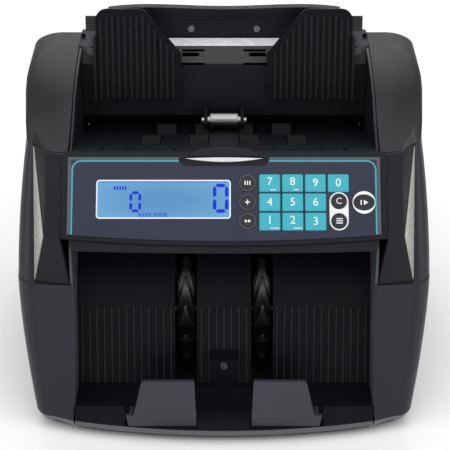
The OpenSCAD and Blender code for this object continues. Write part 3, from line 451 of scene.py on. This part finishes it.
def circle_points(cx, cy, rx, ry=None, steps=48):
    ry = ry or rx
    turns = [2 * math.pi * i / steps for i in range(steps)]
    return [(cx + rx * math.cos(a), cy + ry * math.sin(a)) for a in turns]


def arc(cx, cy, r, start, stop, steps=8):
    turns = [math.radians(start + (stop - start) * i / steps) for i in range(steps + 1)]
    return [(cx + r * math.cos(a), cy + r * math.sin(a)) for a in turns]


def round_rect_points(cx, cy, w, h, r, steps=6):
    points = []
    for sx, sy, start in ((1, 1, 0), (-1, 1, 90), (-1, -1, 180), (1, -1, 270)):
        x, y = cx + sx * (w / 2 - r), cy + sy * (h / 2 - r)
        points += arc(x, y, r, start, start + 90, steps)
    return points


def piece_from(bm, name, mat, body, place):
    mesh = bpy.data.meshes.new(name)
    bmesh.ops.recalc_face_normals(bm, faces=bm.faces)
    bmesh.ops.transform(bm, matrix=place, verts=bm.verts)
    bm.to_mesh(mesh)
    bm.free()
    mesh.materials.append(mat)
    obj = bpy.data.objects.new(name, mesh)
    bpy.context.scene.collection.objects.link(obj)
    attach(obj, body)


def scaled(points):
    return [(x * MM, y * MM) for x, y in points]


# Printed layers stand a few hundredths above what they are printed on
INK = 0.04 * MM


def print_lines(name, paths, width, mat, body="chassis", level=OVERLAY_TOP, place=PANEL):
    """paths: (points in millimetres, closed) pairs."""
    bm = bmesh.new()
    for path, closed in paths:
        ribbon(bm, scaled(path), width * MM, level - INK, level + INK, closed)
    piece_from(bm, name, mat, body, place)


def print_shapes(name, outlines, mat, body="chassis", level=OVERLAY_TOP, place=PANEL, thick=INK):
    bm = bmesh.new()
    for outline in outlines:
        prism(bm, scaled(outline), level - INK, level + thick)
    piece_from(bm, name, mat, body, place)


def panel_lines():
    """The two cyan lines that frame the panel, open at the grip, and the paler
    border outside them."""
    side, top, r, foot, notch = 102.4, -4.9, 6.0, -55.4, 30.6
    left = [(-side, foot), *arc(-side + r, top - r, r, 180, 90), (-notch, top)]
    right = [(notch, top), *arc(side - r, top - r, r, 90, 0), (side, foot)]
    print_lines("panel_line", [(left, False), (right, False)], 1.15, PRINT_CYAN)
    side, top = 104.3, -3.2
    left = [(-side, foot), (-side, top), (-notch, top)]
    right = [(notch, top), (side, top), (side, foot)]
    print_lines("panel_border", [(left, False), (right, False)], 1.9, PRINT_EDGE,
                level=OVERLAY_TOP - 0.02 * MM)


# Display, in the panel's plane and in millimetres: the window, and a figure's centre,
# width, height and stroke
LCD_FACE = 1.0 * MM
LCD_CENTRE = (-40.7, -31.4)
LCD_SIZE = (90.6, 26.7)
SMALL_ZERO = (-59.6, -33.1, 6.0, 12.4, 1.95)
LARGE_ZERO = (-2.2, -30.7, 8.1, 17.6, 2.35)
ZERO = ("top", "low", "tr", "tl", "br", "bl")
BOX_X, BOX_Y, BOX_SIZE = (-53.3, -42.8), -42.1, (9.0, 2.5)
# A segment's place in halves of the figure's width and height, and its turn
SEGMENTS = {"top": (0, 1, 0), "mid": (0, 0, 0), "low": (0, -1, 0),
            "tr": (1, 0.5, 90), "tl": (-1, 0.5, 90), "br": (1, -0.5, 90), "bl": (-1, -0.5, 90)}


def segment_outlines(cx, cy, w, h, stroke, names):
    """Six-cornered segments of one figure, with gaps where they meet."""
    outlines = []
    for name in names:
        sx, sy, turn = SEGMENTS[name]
        length = (w if turn == 0 else h / 2) - stroke * 0.55
        half, tip = length / 2, stroke / 2
        shape = [(-half, 0), (-half + tip, tip), (half - tip, tip), (half, 0),
                 (half - tip, -tip), (-half + tip, -tip)]
        if turn:
            shape = [(-y, x) for x, y in shape]
        outlines.append([(cx + sx * w / 2 + x, cy + sy * h / 2 + y) for x, y in shape])
    return outlines


def lcd_detail():
    """Two zeros, a row of marks, two boxes with dots, and the border."""
    figures = segment_outlines(*SMALL_ZERO, ZERO) + segment_outlines(*LARGE_ZERO, ZERO)
    print_shapes("lcd_figures", figures, SEGMENT, level=LCD_FACE)
    marks = [round_rect_points(-73.6 + i * 1.85, -23.6, 1.1, 2.6, 0.3, 2) for i in range(5)]
    for i in range(4):
        marks += [round_rect_points(x - 3.2 + i * 2.1, BOX_Y, 1.3, 1.1, 0.3, 2) for x in BOX_X]
    print_shapes("lcd_marks", marks, SEGMENT, level=LCD_FACE)
    boxes = [(round_rect_points(x, BOX_Y, *BOX_SIZE, 0.4, 2), True) for x in BOX_X]
    print_lines("lcd_boxes", boxes, 0.25, SEGMENT, level=LCD_FACE)
    x, y = LCD_CENTRE
    w, h = LCD_SIZE
    top, reach = y + h / 2 - 1.5, w / 2 - 1.4
    print_lines("lcd_top_line", [([(x - reach, top), (x + reach, top)], False)], 0.35, SEGMENT,
                level=LCD_FACE)
    border = round_rect_points(x, y, w - 0.9, h - 0.9, 1.8)
    print_lines("lcd_border", [(border, True)], 0.9, BEZEL, level=LCD_FACE + 0.01 * MM)


# Key places, as in the CAD model: x, and distance down the slope, in millimetres
KEY_X0, KEY_S0, PITCH_X, PITCH_S = 30.8, 20.3, 15.4, 13.2
ROUND_X = 15.8
ROUND_S = {"key_count": 20.2, "key_add": 33.4, "key_speed": 46.4}
CAPSULE_X, CLEAR_S, BATCH_S = 77.3, 32.8, 46.3
RESTART_X, RESTART_S = 94.1, 33.7
KEY_HOLE_R = 5.42
CAPSULE_R = 6.35
RESTART_R = 7.75
DIGITS = {"7": (0, 0), "8": (1, 0), "9": (2, 0), "0": (3, 0), "4": (0, 1), "5": (1, 1),
          "6": (2, 1), "1": (0, 2), "2": (1, 2), "3": (2, 2)}
# Small marks under a figure, and how many
SUBTITLES = {"7": 3, "8": 3, "1": 5, "2": 5}


def text_mesh(text, size):
    curve = bpy.data.curves.new("figure", "FONT")
    curve.body = text
    curve.size = size * MM
    curve.align_x = "CENTER"
    curve.align_y = "CENTER"
    curve.extrude = INK
    curve.resolution_u = 4
    holder = bpy.data.objects.new("figure", curve)
    bpy.context.scene.collection.objects.link(holder)
    bpy.context.view_layer.update()
    mesh = bpy.data.meshes.new_from_object(holder.evaluated_get(bpy.context.evaluated_depsgraph_get()))
    bpy.data.objects.remove(holder)
    bpy.data.curves.remove(curve)
    return mesh


def print_figure(name, text, size, x, y, mat, body, extra=()):
    """Prints a figure on a key, with any extra outlines beside it."""
    bm = bmesh.new()
    mesh = text_mesh(text, size)
    bm.from_mesh(mesh)
    bpy.data.meshes.remove(mesh)
    bmesh.ops.translate(bm, verts=bm.verts, vec=(x * MM, y * MM, KEY_TOP))
    for outline in extra:
        prism(bm, scaled(outline), KEY_TOP - INK, KEY_TOP + INK)
    piece_from(bm, name, mat, body, PANEL)


def key_prints():
    for digit, (col, row) in DIGITS.items():
        x = KEY_X0 + col * PITCH_X
        y = -(KEY_S0 + row * PITCH_S)
        bars = SUBTITLES.get(digit, 0)
        extra = [round_rect_points(x + 1.2 + i * 1.15, y - 4.6, 0.75, 0.95, 0.2, 1)
                 for i in range(bars)]
        shift = 0.9 if bars else 0.0
        print_figure(f"figure_{digit}", digit, 7.8, x, y + shift, PRINT_WHITE,
                     f"key_{digit}_cap", extra)


def triangle(x, y, r):
    return [(x + r * math.cos(math.radians(a)), y + r * math.sin(math.radians(a)))
            for a in (0, 120, 240)]


def bar(x, y, w, h):
    return round_rect_points(x, y, w, h, min(w, h) * 0.3, 2)


def round_key_prints():
    x = ROUND_X
    for node, s in ROUND_S.items():
        ring = [(circle_points(x, -s, 5.3), True)]
        print_lines(f"{node}_ring", ring, 0.45, PRINT_GREY, f"{node}_cap", KEY_TOP)
    count, plus, speed = (-ROUND_S[node] for node in ("key_count", "key_add", "key_speed"))
    signs = {
        "key_count": [bar(x + dx, count, 0.7, 3.0) for dx in (-1.6, 0, 1.6)],
        "key_add": [bar(x, plus, 3.4, 0.7), bar(x, plus + 1.05, 0.7, 1.3), bar(x, plus - 1.05, 0.7, 1.3)],
        "key_speed": [triangle(x - 1.1, speed, 1.3), triangle(x + 1.1, speed, 1.3)],
    }
    for node, outlines in signs.items():
        print_shapes(f"{node}_sign", outlines, PRINT_WHITE, f"{node}_cap", KEY_TOP)
    print_figure("key_clear_sign", "C", 6.0, CAPSULE_X, -CLEAR_S, PRINT_WHITE, "key_clear_cap")
    stack = [bar(CAPSULE_X + 0.2, -BATCH_S + dy, 4.4, 0.7) for dy in (-1.5, 0, 1.5)]
    print_shapes("key_batch_sign", stack, PRINT_WHITE, "key_batch_cap", KEY_TOP)


def filled(name, loops, mat, body, level):
    """A flat print over an outline with holes; the first loop is the outline."""
    bm = bmesh.new()
    edges = []
    for loop in loops:
        verts = [bm.verts.new((x, y, level + INK)) for x, y in scaled(loop)]
        edges += [bm.edges.new((verts[i], verts[(i + 1) % len(verts)])) for i in range(len(verts))]
    bmesh.ops.triangle_fill(bm, edges=edges, use_beauty=True)
    extruded = bmesh.ops.extrude_face_region(bm, geom=list(bm.faces))["geom"]
    moved = [g for g in extruded if isinstance(g, bmesh.types.BMVert)]
    bmesh.ops.translate(bm, verts=moved, vec=(0, 0, -2 * INK))
    piece_from(bm, name, mat, body, PANEL)


def capsule_ring():
    """White capsule printed round the two round keys, with their holes left open."""
    outer = [*arc(CAPSULE_X, -CLEAR_S, CAPSULE_R, 0, 180, 20),
             *arc(CAPSULE_X, -BATCH_S, CAPSULE_R, 180, 360, 20)]
    holes = [circle_points(CAPSULE_X, -s, KEY_HOLE_R) for s in (CLEAR_S, BATCH_S)]
    filled("capsule_print", [outer, *holes], PRINT_WHITE, "chassis", OVERLAY_TOP)


def restart_print():
    """White disc round a dark ellipse that nearly reaches its sides."""
    x, y = RESTART_X, -RESTART_S
    filled("restart_disc", [circle_points(x, y, RESTART_R), circle_points(x, y, 7.3, 5.6)],
           PRINT_WHITE, "key_restart_cap", KEY_TOP)
    print_shapes("restart_sign", [triangle(x + 0.9, y, 2.0), bar(x - 1.9, y, 0.8, 3.4)],
                 PRINT_WHITE, "key_restart_cap", KEY_TOP)


def label_bars():
    """Four rows of plain grey bars on the shelf label."""
    low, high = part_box("spec_label")
    depth = high.y - low.y
    reach = 54.0
    bars = []
    for row in range(4):
        y = (low.y + depth * (0.16 + 0.2 * row)) / MM
        x = -reach
        while x < reach - 4:
            width = random.uniform(5, 16)
            bars.append(bar(x + width / 2, y, width, 0.55))
            x += width + random.uniform(3, 9)
    place = Matrix.Translation((0, 0, high.z))
    print_shapes("label_bars", bars, LABEL_INK, level=0, place=place)


def pan_seam_shade():
    """Dark strip on the base pan: painted shade that fills its seam with the rear cover."""
    pan_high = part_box("base_pan")[1]
    length, width = 200 * MM, 4.4 * MM
    y = pan_high.y - 0.4 * MM - width / 2
    outline = round_rect_points(0, y, length, width, 0.5 * MM, 2)
    bm = bmesh.new()
    prism(bm, outline, pan_high.z - 0.1 * MM, pan_high.z + 1.7 * MM)
    piece_from(bm, "pan_seam_shade", SEAM_SHADE, "chassis", Matrix.Identity(4))


dress_nodes()
soften_edges()
panel_lines()
lcd_detail()
key_prints()
round_key_prints()
capsule_ring()
restart_print()
label_bars()
pan_seam_shade()

# ---------------------------------------------------------------- stage

def stage_floor():
    bpy.ops.mesh.primitive_plane_add(size=6, location=(0, 0, 0))
    floor = bpy.context.object
    floor.name = "floor"
    mat, tree, shader = new_material("floor_white")
    coords = object_coords(tree)
    paper = noise(tree, coords, 8, 3)
    tree.links.new(two_tone(tree, paper, (0.96, 0.96, 0.96), (0.98, 0.98, 0.98)),
                   shader.inputs["Base Color"])
    shader.inputs["Roughness"].default_value = 0.9
    floor.data.materials.append(mat)


def area_light(name, place, target, size, power, size_y=None):
    data = bpy.data.lights.new(name, "AREA")
    data.energy = power
    data.shape = "RECTANGLE"
    data.size = size
    data.size_y = size_y or size
    lamp = bpy.data.objects.new(name, data)
    bpy.context.scene.collection.objects.link(lamp)
    lamp.location = place
    lamp.rotation_euler = (Vector(target) - Vector(place)).to_track_quat("-Z", "Y").to_euler()


def set_lights():
    aim = (0, 0, 0.12)
    area_light("key_light", (0.05, -0.35, 1.6), aim, 1.6, 10)
    area_light("front_light", (0, -1.6, 0.3), aim, 1.4, 4, 0.5)
    area_light("left_light", (-1.3, -0.6, 0.7), aim, 0.6, 6, 1.2)
    area_light("right_light", (1.3, -0.6, 0.7), aim, 0.6, 6, 1.2)
    area_light("back_light", (0, 1.2, 1.2), aim, 1.4, 9)
    world = bpy.data.worlds.new("studio")
    world.use_nodes = True
    world.node_tree.nodes["Background"].inputs["Color"].default_value = (1, 1, 1, 1)
    world.node_tree.nodes["Background"].inputs["Strength"].default_value = 0.5
    bpy.context.scene.world = world
    bpy.context.scene.view_settings.view_transform = "Standard"


def set_camera():
    target = Vector((0.0007, -0.00235, 0.1059))
    elevation = math.radians(30)
    distance = 1.1
    data = bpy.data.cameras.new("camera")
    data.lens = 121.6
    data.sensor_width = 36
    camera = bpy.data.objects.new("camera", data)
    bpy.context.scene.collection.objects.link(camera)
    camera.location = target + distance * Vector((0, -math.cos(elevation), math.sin(elevation)))
    camera.rotation_euler = (target - camera.location).to_track_quat("-Z", "Y").to_euler()
    bpy.context.scene.camera = camera


stage_floor()
set_lights()
set_camera()
